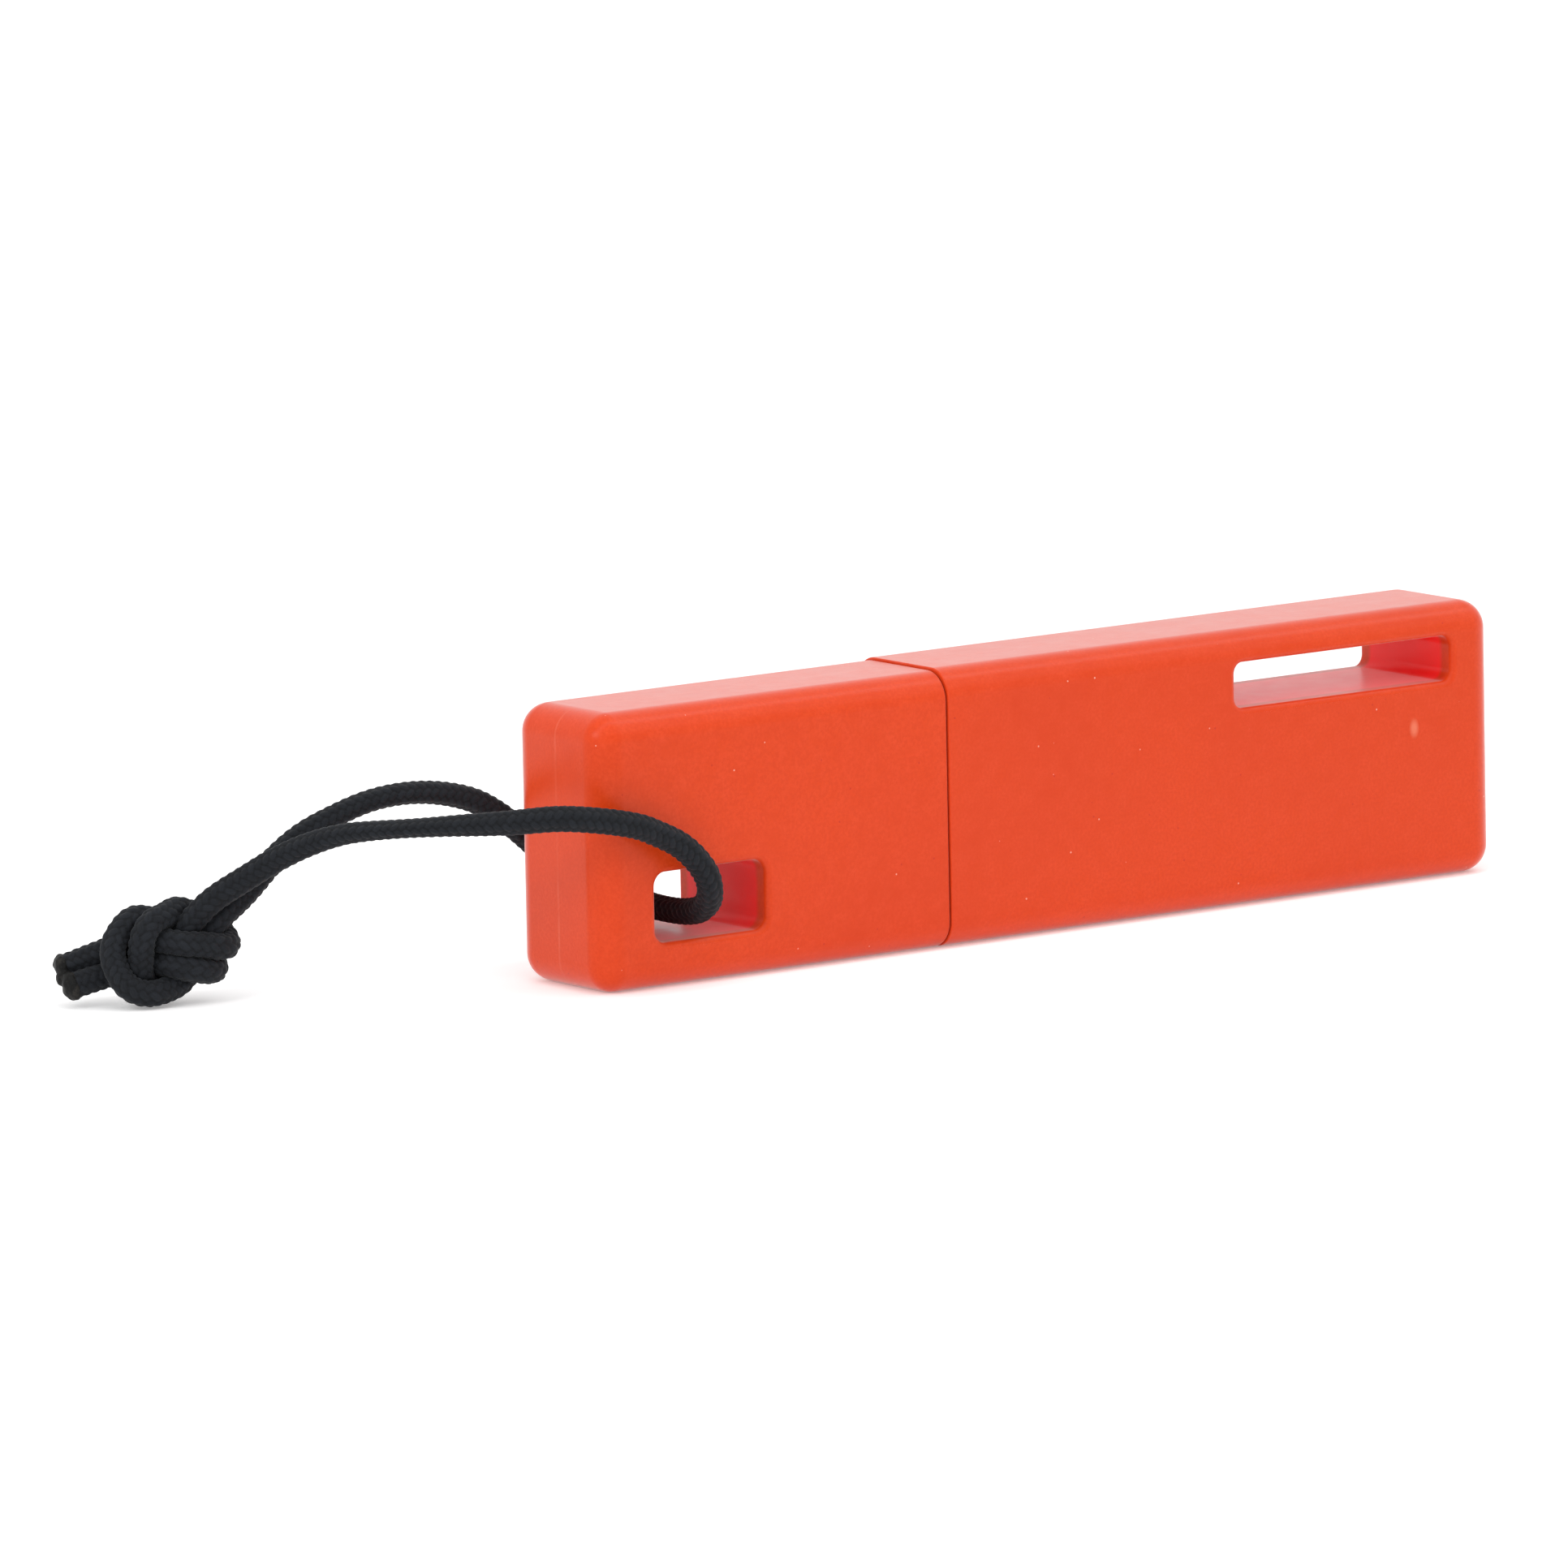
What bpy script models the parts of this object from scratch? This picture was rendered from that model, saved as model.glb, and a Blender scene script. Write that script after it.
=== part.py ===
"""A flat two-tone training whistle with a pull-off cap and a short knotted cord.

The whistle stands on its long narrow side. X runs along its length with the cap at -X, the front
broad face looks along -Y, and +Z is up. The origin is the middle of the resting face. A moulded
core with two sound chambers sits inside the body shell, and its neck, which is the mouthpiece,
reaches into the cap. The cap slides off along -X and carries the cord.
"""

import math

import bmesh
import bpy
from mathutils import Matrix, Vector

# Whole whistle
LENGTH = 0.0900
HEIGHT = 0.0224
DEPTH = 0.0121
EDGE_RADIUS = 0.0023
RIM_BEVEL = 0.0003
GAP = 0.0003

# Shells
CAP_LENGTH = 0.0341
CAP_STEP = 0.0002
SHELL_WALL = 0.0016
BODY_END_WALL = 0.0050

# Window for the cord, through the cap
WINDOW_LENGTH = 0.0108
WINDOW_HEIGHT = 0.0056
WINDOW_END_MARGIN = 0.0052
WINDOW_FLOOR = 0.0037
WINDOW_CORNER = 0.0011

# Strap slot, through the body shell
SLOT_LENGTH = 0.0223
SLOT_HEIGHT = 0.0037
SLOT_END_MARGIN = 0.0045
SLOT_TOP_MARGIN = 0.0025
SLOT_CORNER = 0.0009

# Core, with its chambers and windways
CORE_WALL = 0.0016
CORE_CORNER = 0.0012
DIVIDER = 0.0012
TIP_CLEARANCE = 0.0009
WINDWAY_HEIGHT = 0.0009
WINDWAY_LENGTH = 0.0074
VOICE_LENGTH = 0.0032
VOICE_RAMP = 0.0014
VOICE_SIDE = 0.0005
PLUG_LENGTH = 0.0022

# Friction ring on the neck
RING_WIDTH = 0.0014
RING_INSET = 0.0017
RING_DEPTH = 0.0009

# Cord
CORD_DIAMETER = 0.0021
CORD_SPACING = 1.2
KNOT_CENTRE = Vector((-0.0715, 0.0155, 0.0044))
KNOT_SIZE = Vector((0.0108, 0.0078, 0.0086))
KNOT_TURN = math.radians(-37)
# From the knot round the front of the cap, through the window and back behind the cap
CORD_ROUTE = [
    (-0.0685, 0.0135, 0.0082),
    (-0.0669, 0.0123, 0.0095),
    (-0.0651, 0.0107, 0.0110),
    (-0.0633, 0.0088, 0.0123),
    (-0.0617, 0.0064, 0.0133),
    (-0.0601, 0.0040, 0.0138),
    (-0.0566, -0.0006, 0.0143),
    (-0.0527, -0.0044, 0.0146),
    (-0.0495, -0.0065, 0.0148),
    (-0.0462, -0.0076, 0.0144),
    (-0.0431, -0.0079, 0.0137),
    (-0.0411, -0.0079, 0.0129),
    (-0.0390, -0.0080, 0.0118),
    (-0.0375, -0.0081, 0.0105),
    (-0.0364, -0.0080, 0.0091),
    (-0.0357, -0.0075, 0.0078),
    (-0.0351, -0.0064, 0.0067),
    (-0.0347, -0.0048, 0.0058),
    (-0.0345, -0.0024, 0.0053),
    (-0.0345, 0.0006, 0.0052),
    (-0.0346, 0.0034, 0.0054),
    (-0.0352, 0.0058, 0.0060),
    (-0.0365, 0.0074, 0.0070),
    (-0.0386, 0.0080, 0.0083),
    (-0.0410, 0.0080, 0.0099),
    (-0.0430, 0.0079, 0.0115),
    (-0.0450, 0.0080, 0.0131),
    (-0.0473, 0.0082, 0.0144),
    (-0.0502, 0.0087, 0.0152),
    (-0.0531, 0.0093, 0.0154),
    (-0.0559, 0.0101, 0.0150),
    (-0.0585, 0.0113, 0.0139),
    (-0.0609, 0.0126, 0.0124),
    (-0.0632, 0.0137, 0.0102),
    (-0.0652, 0.0143, 0.0079),
    (-0.0664, 0.0148, 0.0069),
]
# The two cut ends, side by side, from the knot to their tips
TAIL_ROUTES = {
    "cord_tail_upper": [(-0.0764, 0.0181, 0.0043), (-0.0781, 0.0186, 0.0039), (-0.0800, 0.0190, 0.0035)],
    "cord_tail_lower": [(-0.0766, 0.0159, 0.0031), (-0.0785, 0.0163, 0.0025), (-0.0804, 0.0168, 0.0021)],
}

# Places worked out from the sizes above
LEFT = -LENGTH / 2
RIGHT = LENGTH / 2
SPLIT = LEFT + CAP_LENGTH
CAP_HEIGHT = HEIGHT - CAP_STEP
CAP_HALF_DEPTH = (DEPTH - CAP_STEP) / 2
CORE_HALF_DEPTH = DEPTH / 2 - SHELL_WALL - GAP
CORE_FLOOR = SHELL_WALL + GAP
CORE_TOP = CAP_HEIGHT - SHELL_WALL - GAP
CORE_MIDDLE = (CORE_FLOOR + CORE_TOP) / 2
CHAMBER_HALF_DEPTH = CORE_HALF_DEPTH - CORE_WALL
WINDOW_X = (LEFT + WINDOW_END_MARGIN, LEFT + WINDOW_END_MARGIN + WINDOW_LENGTH)
WINDOW_Z = (WINDOW_FLOOR, WINDOW_FLOOR + WINDOW_HEIGHT)
SLOT_X = (RIGHT - SLOT_END_MARGIN - SLOT_LENGTH, RIGHT - SLOT_END_MARGIN)
SLOT_Z = (HEIGHT - SLOT_TOP_MARGIN - SLOT_HEIGHT, HEIGHT - SLOT_TOP_MARGIN)
CAP_CAVITY_END = WINDOW_X[1] + SHELL_WALL
NECK_TIP = CAP_CAVITY_END + TIP_CLEARANCE
UPPER_CORE_END = SLOT_X[0] - SHELL_WALL - GAP
LOWER_CORE_END = RIGHT - BODY_END_WALL - GAP
LOWER_CORE_TOP = CORE_MIDDLE + DIVIDER / 2
UPPER_CHAMBER_Z = (CORE_MIDDLE + DIVIDER / 2, CORE_TOP - CORE_WALL)
LOWER_CHAMBER_Z = (CORE_FLOOR + CORE_WALL, CORE_MIDDLE - DIVIDER / 2)
WINDWAY_END = NECK_TIP + WINDWAY_LENGTH
GROOVE_X = (SPLIT - RING_INSET - RING_WIDTH - 2 * GAP, SPLIT - RING_INSET)
PAST = 0.0010


def clear_scene():
    for obj in list(bpy.data.objects):
        bpy.data.objects.remove(obj, do_unlink=True)


def collection(name):
    made = bpy.data.collections.new(name)
    bpy.context.scene.collection.children.link(made)
    return made


def material(name, color, roughness):
    made = bpy.data.materials.new(name)
    made.use_nodes = True
    shader = made.node_tree.nodes["Principled BSDF"]
    shader.inputs["Base Color"].default_value = (*color, 1)
    shader.inputs["Roughness"].default_value = roughness
    shader.inputs["Metallic"].default_value = 0
    return made


def block(name, low, high, into, finish=None):
    """A box between two corners, with its origin at its middle."""
    low, high = Vector(low), Vector(high)
    mesh = bpy.data.meshes.new(name)
    shape = bmesh.new()
    size = high - low
    bmesh.ops.create_cube(shape, size=1, matrix=Matrix.Diagonal((*size, 1)))
    shape.to_mesh(mesh)
    shape.free()
    made = bpy.data.objects.new(name, mesh)
    made.location = (low + high) / 2
    into.objects.link(made)
    if finish:
        mesh.materials.append(finish)
    return made


def round_edges(obj, radius, segments, wanted):
    """Rounds the edges whose two ends, in the object's own space, both pass the test."""
    shape = bmesh.new()
    shape.from_mesh(obj.data)
    edges = [e for e in shape.edges if wanted(e.verts[0].co, e.verts[1].co)]
    bmesh.ops.bevel(shape, geom=edges, offset=radius, segments=segments, profile=0.5, affect="EDGES")
    shape.to_mesh(obj.data)
    shape.free()


def along(axis):
    """A test for straight edges that run along one axis."""
    return lambda a, b: all(abs(a[i] - b[i]) < 1e-6 for i in range(3) if i != axis)


def not_at(axis, side):
    """A test for edges that do not lie in the end face on one side of an axis."""
    return lambda a, b: not (a[axis] * side > 0 and b[axis] * side > 0)


def cut(obj, cutter):
    cutter.hide_render = True
    cutter.display_type = "WIRE"
    step = obj.modifiers.new(cutter.name, "BOOLEAN")
    step.operation = "DIFFERENCE"
    step.object = cutter
    step.solver = "EXACT"


def bevel_rims(obj):
    """Takes the sharpness off every rim left by the moulding and the openings."""
    rims = obj.modifiers.new("rims", "BEVEL")
    rims.width = RIM_BEVEL
    rims.segments = 1
    rims.limit_method = "ANGLE"
    rims.angle_limit = math.radians(50)
    rims.use_clamp_overlap = False


def bar(name, x_range, half_depth, z_range, corner, into, finish=None):
    """A bar along X with its four long edges rounded."""
    low = (x_range[0], -half_depth, z_range[0])
    high = (x_range[1], half_depth, z_range[1])
    made = block(name, low, high, into, finish)
    if corner > 0:
        round_edges(made, corner, 3, along(0))
    return made


def through_hole(name, x_range, z_range, corner, cutters):
    """A cutter along Y with rounded corners."""
    half = DEPTH / 2 + PAST
    made = block(name, (x_range[0], -half, z_range[0]), (x_range[1], half, z_range[1]), cutters)
    round_edges(made, corner, 4, along(1))
    return made


def make_cap(parts, cutters, finish):
    low = (LEFT, -CAP_HALF_DEPTH, 0)
    high = (SPLIT - GAP / 2, CAP_HALF_DEPTH, CAP_HEIGHT)
    cap = block("cap_shell", low, high, parts, finish)
    round_edges(cap, EDGE_RADIUS, 4, not_at(0, 1))
    cavity = bar(
        "cut_cap_cavity",
        (CAP_CAVITY_END, SPLIT + PAST),
        CORE_HALF_DEPTH + GAP,
        (CORE_FLOOR - GAP, CORE_TOP + GAP),
        CORE_CORNER + GAP,
        cutters,
    )
    cut(cap, cavity)
    cut(cap, through_hole("cut_window", WINDOW_X, WINDOW_Z, WINDOW_CORNER, cutters))
    bevel_rims(cap)
    return cap


def stepped_bar(name, start, extra, into, cutters, finish=None):
    """The core's outline: full height up to the strap slot, then low under it. Extra is the room round it."""
    made = bar(
        name,
        (start, LOWER_CORE_END + extra),
        CORE_HALF_DEPTH + extra,
        (CORE_FLOOR - extra, CORE_TOP + extra),
        CORE_CORNER + extra,
        into,
        finish,
    )
    past_depth = CORE_HALF_DEPTH + extra + PAST
    low = (UPPER_CORE_END + extra, -past_depth, LOWER_CORE_TOP + extra)
    high = (LOWER_CORE_END + extra + PAST, past_depth, CORE_TOP + extra + PAST)
    cut(made, block(name + "_notch", low, high, cutters))
    return made


def make_body(parts, cutters, finish):
    low = (SPLIT + GAP / 2, -DEPTH / 2, 0)
    high = (RIGHT, DEPTH / 2, HEIGHT)
    body = block("body_shell", low, high, parts, finish)
    round_edges(body, EDGE_RADIUS, 4, not_at(0, -1))
    cut(body, stepped_bar("cut_body_cavity", SPLIT - PAST, GAP, cutters, cutters))
    cut(body, through_hole("cut_strap_slot", SLOT_X, SLOT_Z, SLOT_CORNER, cutters))
    bevel_rims(body)
    return body


def voice_cutter(name, up, cutters):
    """The mouth of one sound chamber, a box whose far side slopes away to leave a lip."""
    chamber = UPPER_CHAMBER_Z if up else LOWER_CHAMBER_Z
    inner = chamber[1] - GAP if up else chamber[0] + GAP
    outer = CORE_TOP + PAST if up else CORE_FLOOR - PAST
    half = CHAMBER_HALF_DEPTH - VOICE_SIDE
    low = (WINDWAY_END, -half, min(inner, outer))
    high = (WINDWAY_END + VOICE_LENGTH, half, max(inner, outer))
    made = block(name, low, high, cutters)
    side = 1 if up else -1
    for vertex in made.data.vertices:
        if vertex.co.x > 0 and vertex.co.z * side > 0:
            vertex.co.x += VOICE_RAMP
    return made


def make_core(parts, cutters, finish):
    """The moulded insert, with its two chambers, their mouths and the groove for the ring."""
    core = stepped_bar("whistle_core", NECK_TIP, 0, parts, cutters, finish)
    past_depth = CORE_HALF_DEPTH + PAST
    half = CHAMBER_HALF_DEPTH
    upper_x = (NECK_TIP - PAST, UPPER_CORE_END + PAST)
    lower_x = (NECK_TIP - PAST, LOWER_CORE_END + PAST)
    cut(core, bar("cut_chamber_upper", upper_x, half, UPPER_CHAMBER_Z, 0, cutters))
    cut(core, bar("cut_chamber_lower", lower_x, half, LOWER_CHAMBER_Z, 0, cutters))
    cut(core, voice_cutter("cut_voice_upper", True, cutters))
    cut(core, voice_cutter("cut_voice_lower", False, cutters))
    for name, up in (("cut_groove_front", -1), ("cut_groove_rear", 1)):
        inner, outer = up * (CORE_HALF_DEPTH - RING_DEPTH), up * past_depth
        low = (GROOVE_X[0], min(inner, outer), CORE_FLOOR - PAST)
        high = (GROOVE_X[1], max(inner, outer), CORE_TOP + PAST)
        cut(core, block(name, low, high, cutters))
    for name, z_range in (
        ("cut_groove_top", (CORE_TOP - RING_DEPTH, CORE_TOP + PAST)),
        ("cut_groove_bottom", (CORE_FLOOR - PAST, CORE_FLOOR + RING_DEPTH)),
    ):
        low = (GROOVE_X[0], -past_depth - PAST, z_range[0])
        high = (GROOVE_X[1], past_depth + PAST, z_range[1])
        cut(core, block(name, low, high, cutters))
    return core


def make_windway_blocks(parts, finish):
    """The two blocks that leave a thin windway under each outer wall of the neck."""
    half = CHAMBER_HALF_DEPTH - GAP
    x_range = (NECK_TIP, WINDWAY_END)
    upper_z = (UPPER_CHAMBER_Z[0] + GAP, UPPER_CHAMBER_Z[1] - WINDWAY_HEIGHT)
    lower_z = (LOWER_CHAMBER_Z[0] + WINDWAY_HEIGHT, LOWER_CHAMBER_Z[1] - GAP)
    bar("windway_block_upper", x_range, half, upper_z, 0, parts, finish)
    bar("windway_block_lower", x_range, half, lower_z, 0, parts, finish)


def make_chamber_plugs(parts, finish):
    """The plugs that close the far end of each chamber and set its note."""
    half = CHAMBER_HALF_DEPTH - GAP
    for name, end, chamber in (
        ("chamber_plug_short", UPPER_CORE_END, UPPER_CHAMBER_Z),
        ("chamber_plug_long", LOWER_CORE_END, LOWER_CHAMBER_Z),
    ):
        z_range = (chamber[0] + GAP, chamber[1] - GAP)
        bar(name, (end - PLUG_LENGTH, end), half, z_range, 0, parts, finish)


def make_ring(parts, cutters, finish):
    """The rubber ring in the neck's groove that holds the cap on by friction."""
    x_range = (GROOVE_X[0] + GAP, GROOVE_X[1] - GAP)
    ring = bar(
        "neck_seal_ring", x_range, CORE_HALF_DEPTH, (CORE_FLOOR, CORE_TOP), CORE_CORNER, parts, finish
    )
    inner = RING_DEPTH - GAP
    hole_x = (x_range[0] - PAST, x_range[1] + PAST)
    hole_z = (CORE_FLOOR + inner, CORE_TOP - inner)
    cut(ring, bar("cut_ring", hole_x, CORE_HALF_DEPTH - inner, hole_z, 0, cutters))
    return ring


def smooth_route(points, spacing):
    """Evenly spaced points on a smooth curve through the given ones."""
    points = [Vector(p) for p in points]
    ends = [2 * points[0] - points[1]] + points + [2 * points[-1] - points[-2]]
    fine = []
    steps = 24
    for a, b, c, d in zip(ends, ends[1:], ends[2:], ends[3:]):
        for i in range(steps):
            t = i / steps
            fine.append(
                (2 * b + (c - a) * t + (2 * a - 5 * b + 4 * c - d) * t**2 + (3 * b - a - 3 * c + d) * t**3) / 2
            )
    fine.append(points[-1])
    runs = [0]
    for a, b in zip(fine, fine[1:]):
        runs.append(runs[-1] + (b - a).length)
    count = max(2, round(runs[-1] / spacing))
    spread = []
    index = 0
    for k in range(count + 1):
        target = runs[-1] * k / count
        while index < len(runs) - 2 and runs[index + 1] < target:
            index += 1
        share = (target - runs[index]) / (runs[index + 1] - runs[index])
        spread.append(fine[index].lerp(fine[index + 1], min(1, share)))
    return spread


def tube(name, points, parts, finish):
    curve = bpy.data.curves.new(name, "CURVE")
    curve.dimensions = "3D"
    curve.bevel_depth = CORD_DIAMETER / 2
    curve.bevel_resolution = 2
    curve.use_fill_caps = True
    route = smooth_route(points, CORD_SPACING * CORD_DIAMETER)
    spline = curve.splines.new("POLY")
    spline.points.add(len(route) - 1)
    for place, point in zip(spline.points, route):
        place.co = (*point, 1)
    curve.materials.append(finish)
    made = bpy.data.objects.new(name, curve)
    parts.objects.link(made)
    return made


def make_knot(parts, finish):
    """The outer shape of the doubled overhand knot."""
    mesh = bpy.data.meshes.new("lanyard_knot")
    shape = bmesh.new()
    bmesh.ops.create_uvsphere(shape, u_segments=24, v_segments=14, radius=0.5)
    bmesh.ops.scale(shape, vec=KNOT_SIZE, verts=shape.verts)
    shape.to_mesh(mesh)
    shape.free()
    mesh.materials.append(finish)
    mesh.shade_smooth()
    knot = bpy.data.objects.new("lanyard_knot", mesh)
    knot.location = KNOT_CENTRE
    knot.rotation_euler = (0, 0, KNOT_TURN)
    parts.objects.link(knot)
    return knot


def main():
    clear_scene()
    parts = collection("training_whistle")
    cutters = collection("cutters")
    orange = material("orange_soft_plastic", (0.85, 0.07, 0.02), 0.55)
    dark = material("dark_abs", (0.03, 0.032, 0.036), 0.4)
    rubber = material("black_rubber", (0.015, 0.015, 0.016), 0.75)
    cord = material("charcoal_braid", (0.028, 0.032, 0.038), 0.85)
    make_cap(parts, cutters, orange)
    make_body(parts, cutters, orange)
    make_core(parts, cutters, dark)
    make_windway_blocks(parts, dark)
    make_chamber_plugs(parts, dark)
    make_ring(parts, cutters, rubber)
    tube("lanyard_cord", CORD_ROUTE, parts, cord)
    make_knot(parts, cord)
    for name, route in TAIL_ROUTES.items():
        tube(name, route, parts, cord)


main()
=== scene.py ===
"""Training whistle: fine shells, sound core, braided lanyard cord and finishes."""

import math

import bmesh
import bpy
import numpy as np
from bpy.props import FloatProperty, FloatVectorProperty, IntProperty, PointerProperty
from mathutils import Matrix, Vector


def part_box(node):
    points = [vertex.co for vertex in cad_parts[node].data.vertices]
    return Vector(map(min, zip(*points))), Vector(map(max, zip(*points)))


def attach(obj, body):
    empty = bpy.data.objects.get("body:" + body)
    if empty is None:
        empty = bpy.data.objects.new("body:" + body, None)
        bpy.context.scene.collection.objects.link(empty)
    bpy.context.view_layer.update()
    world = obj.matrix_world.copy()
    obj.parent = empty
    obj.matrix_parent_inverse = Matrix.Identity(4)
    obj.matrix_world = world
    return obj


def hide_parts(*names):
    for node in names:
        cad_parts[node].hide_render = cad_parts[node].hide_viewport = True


bl_info = {
    "name": "Training Whistle",
    "version": (1, 0, 0),
    "blender": (4, 5, 0),
    "location": "View3D > Sidebar > Whistle",
    "description": "Builds the shells, core, braided cord and finishes of a flat training whistle",
    "category": "Add Mesh",
}

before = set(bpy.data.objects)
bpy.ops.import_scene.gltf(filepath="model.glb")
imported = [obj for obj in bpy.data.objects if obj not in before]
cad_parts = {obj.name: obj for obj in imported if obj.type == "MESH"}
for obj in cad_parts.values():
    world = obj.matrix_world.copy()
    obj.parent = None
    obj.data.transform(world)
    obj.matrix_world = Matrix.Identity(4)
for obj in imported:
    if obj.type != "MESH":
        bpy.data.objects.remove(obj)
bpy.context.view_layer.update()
CAP_LOW, CAP_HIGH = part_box("cap_shell")
BODY_LOW, BODY_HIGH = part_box("body_shell")
CORE_LOW, CORE_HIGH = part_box("whistle_core")
RING_LOW, RING_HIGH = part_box("neck_seal_ring")
INSERTS = ("windway_block_upper", "windway_block_lower", "chamber_plug_short", "chamber_plug_long")
# How far a cutter reaches past the faces that it cuts, and how close two places are the same
PAST = 0.001
SAME = 1e-6
# A flared mouth starts this far below its face, and is rounded in this many steps
FLARE_START = 0.000004
FLARE_STEPS = 7
# Steps in the corners of the openings, of the core and its cavities, of inner bands and of rims
HOLE_STEPS = 10
CORE_STEPS = 8
BAND_STEPS = 5
RIM_STEPS = 4
SHARP = math.radians(50)
# The parting line is drawn on faces this close to a shell's outline, which has no end at the split
OUTLINE_SLACK = 2e-5
OPEN_END = 0.1
# Share of the ring's thickness that its rounded edges take
RING_CROWN = 0.42

# The cord from the knot round the front of the cap, through the window and back behind the cap
CORD_ROUTE = [
    (-0.0685, 0.0135, 0.0082),
    (-0.0669, 0.0123, 0.0095),
    (-0.0651, 0.0107, 0.0110),
    (-0.0633, 0.0088, 0.0123),
    (-0.0617, 0.0064, 0.0133),
    (-0.0601, 0.0040, 0.0138),
    (-0.0566, -0.0006, 0.0143),
    (-0.0527, -0.0044, 0.0146),
    (-0.0495, -0.0065, 0.0148),
    (-0.0462, -0.0076, 0.0144),
    (-0.0431, -0.0079, 0.0137),
    (-0.0411, -0.0079, 0.0129),
    (-0.0390, -0.0080, 0.0118),
    (-0.0375, -0.0081, 0.0105),
    (-0.0364, -0.0080, 0.0091),
    (-0.0357, -0.0075, 0.0078),
    (-0.0351, -0.0064, 0.0067),
    (-0.0347, -0.0048, 0.0058),
    (-0.0345, -0.0024, 0.0053),
    (-0.0345, 0.0006, 0.0052),
    (-0.0346, 0.0034, 0.0054),
    (-0.0352, 0.0058, 0.0060),
    (-0.0365, 0.0074, 0.0070),
    (-0.0386, 0.0080, 0.0083),
    (-0.0410, 0.0080, 0.0099),
    (-0.0430, 0.0079, 0.0115),
    (-0.0450, 0.0080, 0.0131),
    (-0.0473, 0.0082, 0.0144),
    (-0.0502, 0.0087, 0.0152),
    (-0.0531, 0.0093, 0.0154),
    (-0.0559, 0.0101, 0.0150),
    (-0.0585, 0.0113, 0.0139),
    (-0.0609, 0.0126, 0.0124),
    (-0.0632, 0.0137, 0.0102),
    (-0.0652, 0.0143, 0.0079),
    (-0.0664, 0.0148, 0.0069),
]
# The knot's two strands from where they enter it to their cut tips, in the knot's own frame: right,
# up and towards the side from which it is laid, whose azimuth, elevation and roll are in degrees
KNOT_CENTRE = Vector((-0.0715, 0.0155, 0.0044))
KNOT_VIEW = (-36.5, 8.9, -1.1)
FRONT_STRAND = [
    (0.0030, 0.0038, 0.0010),
    (0.0017, 0.0019, 0.0003),
    (0.0009, 0.0010, -0.0007),
    (0.0003, -0.0002, -0.0012),
    (0.0000, -0.0016, -0.0016),
    (-0.0005, -0.0026, -0.0019),
    (-0.0014, -0.0027, -0.0010),
    (-0.0019, -0.0020, 0.0004),
    (-0.0021, -0.0010, 0.0012),
    (-0.0022, 0.0002, 0.0015),
    (-0.0021, 0.0012, 0.0016),
    (-0.0014, 0.0019, 0.0015),
    (-0.0003, 0.0024, 0.0008),
    (0.0010, 0.0027, -0.0003),
    (0.0023, 0.0026, -0.0015),
    (0.0029, 0.0022, -0.0023),
    (0.0036, 0.0015, -0.0022),
    (0.0038, 0.0009, -0.0011),
    (0.0036, 0.0006, 0.0001),
    (0.0033, 0.0005, 0.0011),
    (0.0025, 0.0005, 0.0015),
    (0.0015, 0.0006, 0.0015),
    (0.0003, 0.0008, 0.0012),
    (-0.0009, 0.0007, 0.0003),
    (-0.0020, 0.0005, -0.0006),
    (-0.0035, 0.0001, -0.0009),
    (-0.0049, -0.0003, -0.0008),
    (-0.0061, -0.0006, -0.0008),
    (-0.0073, -0.0011, -0.0008),
    (-0.0085, -0.0016, -0.0008),
]
REAR_STRAND = [
    (0.0040, 0.0027, -0.0003),
    (0.0028, 0.0012, -0.0009),
    (0.0023, 0.0002, -0.0012),
    (0.0019, -0.0011, -0.0013),
    (0.0015, -0.0022, -0.0011),
    (0.0007, -0.0030, -0.0005),
    (-0.0005, -0.0032, 0.0003),
    (-0.0019, -0.0029, 0.0009),
    (-0.0038, -0.0022, 0.0013),
    (-0.0049, -0.0010, 0.0015),
    (-0.0050, 0.0004, 0.0015),
    (-0.0049, 0.0007, 0.0014),
    (-0.0042, 0.0012, 0.0010),
    (-0.0031, 0.0015, 0.0002),
    (-0.0015, 0.0020, -0.0010),
    (-0.0002, 0.0020, -0.0021),
    (0.0010, 0.0017, -0.0029),
    (0.0021, 0.0012, -0.0033),
    (0.0028, 0.0005, -0.0032),
    (0.0032, -0.0008, -0.0024),
    (0.0033, -0.0016, -0.0012),
    (0.0031, -0.0018, 0.0001),
    (0.0028, -0.0018, 0.0010),
    (0.0020, -0.0017, 0.0014),
    (0.0008, -0.0016, 0.0014),
    (-0.0003, -0.0014, 0.0010),
    (-0.0015, -0.0012, 0.0002),
    (-0.0025, -0.0013, -0.0006),
    (-0.0037, -0.0016, -0.0008),
    (-0.0049, -0.0020, -0.0003),
    (-0.0061, -0.0024, 0.0002),
    (-0.0070, -0.0027, 0.0005),
    (-0.0078, -0.0030, 0.0006),
]
# Where the soft braid is pulled narrow: the place, how far it reaches and the share of its height
# that it loses. It grows this share of that loss wider
NARROW_PLACES = [
    ((-0.0582, 0.0015, 0.0141), 0.0062, 0.24),
    ((-0.0545, 0.0097, 0.0153), 0.0085, 0.14),
]
WIDENING = 0.5
# Share of its height that a stitch keeps where it dives under, and the height at which the cord has
# its own diameter
DIVE_HEIGHT = 0.12
MEAN_HEIGHT = 0.75
# The melted beads: how far they sit back from the cut, their flatness, the grid that fuses them, and
# the size and height of their lumps
TIP_SINK = 0.00022
TIP_FLATNESS = 0.62
TIP_GRID = 0.00009
LUMP_SIZE = 0.0009
LUMP_HEIGHT = 0.00035
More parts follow.
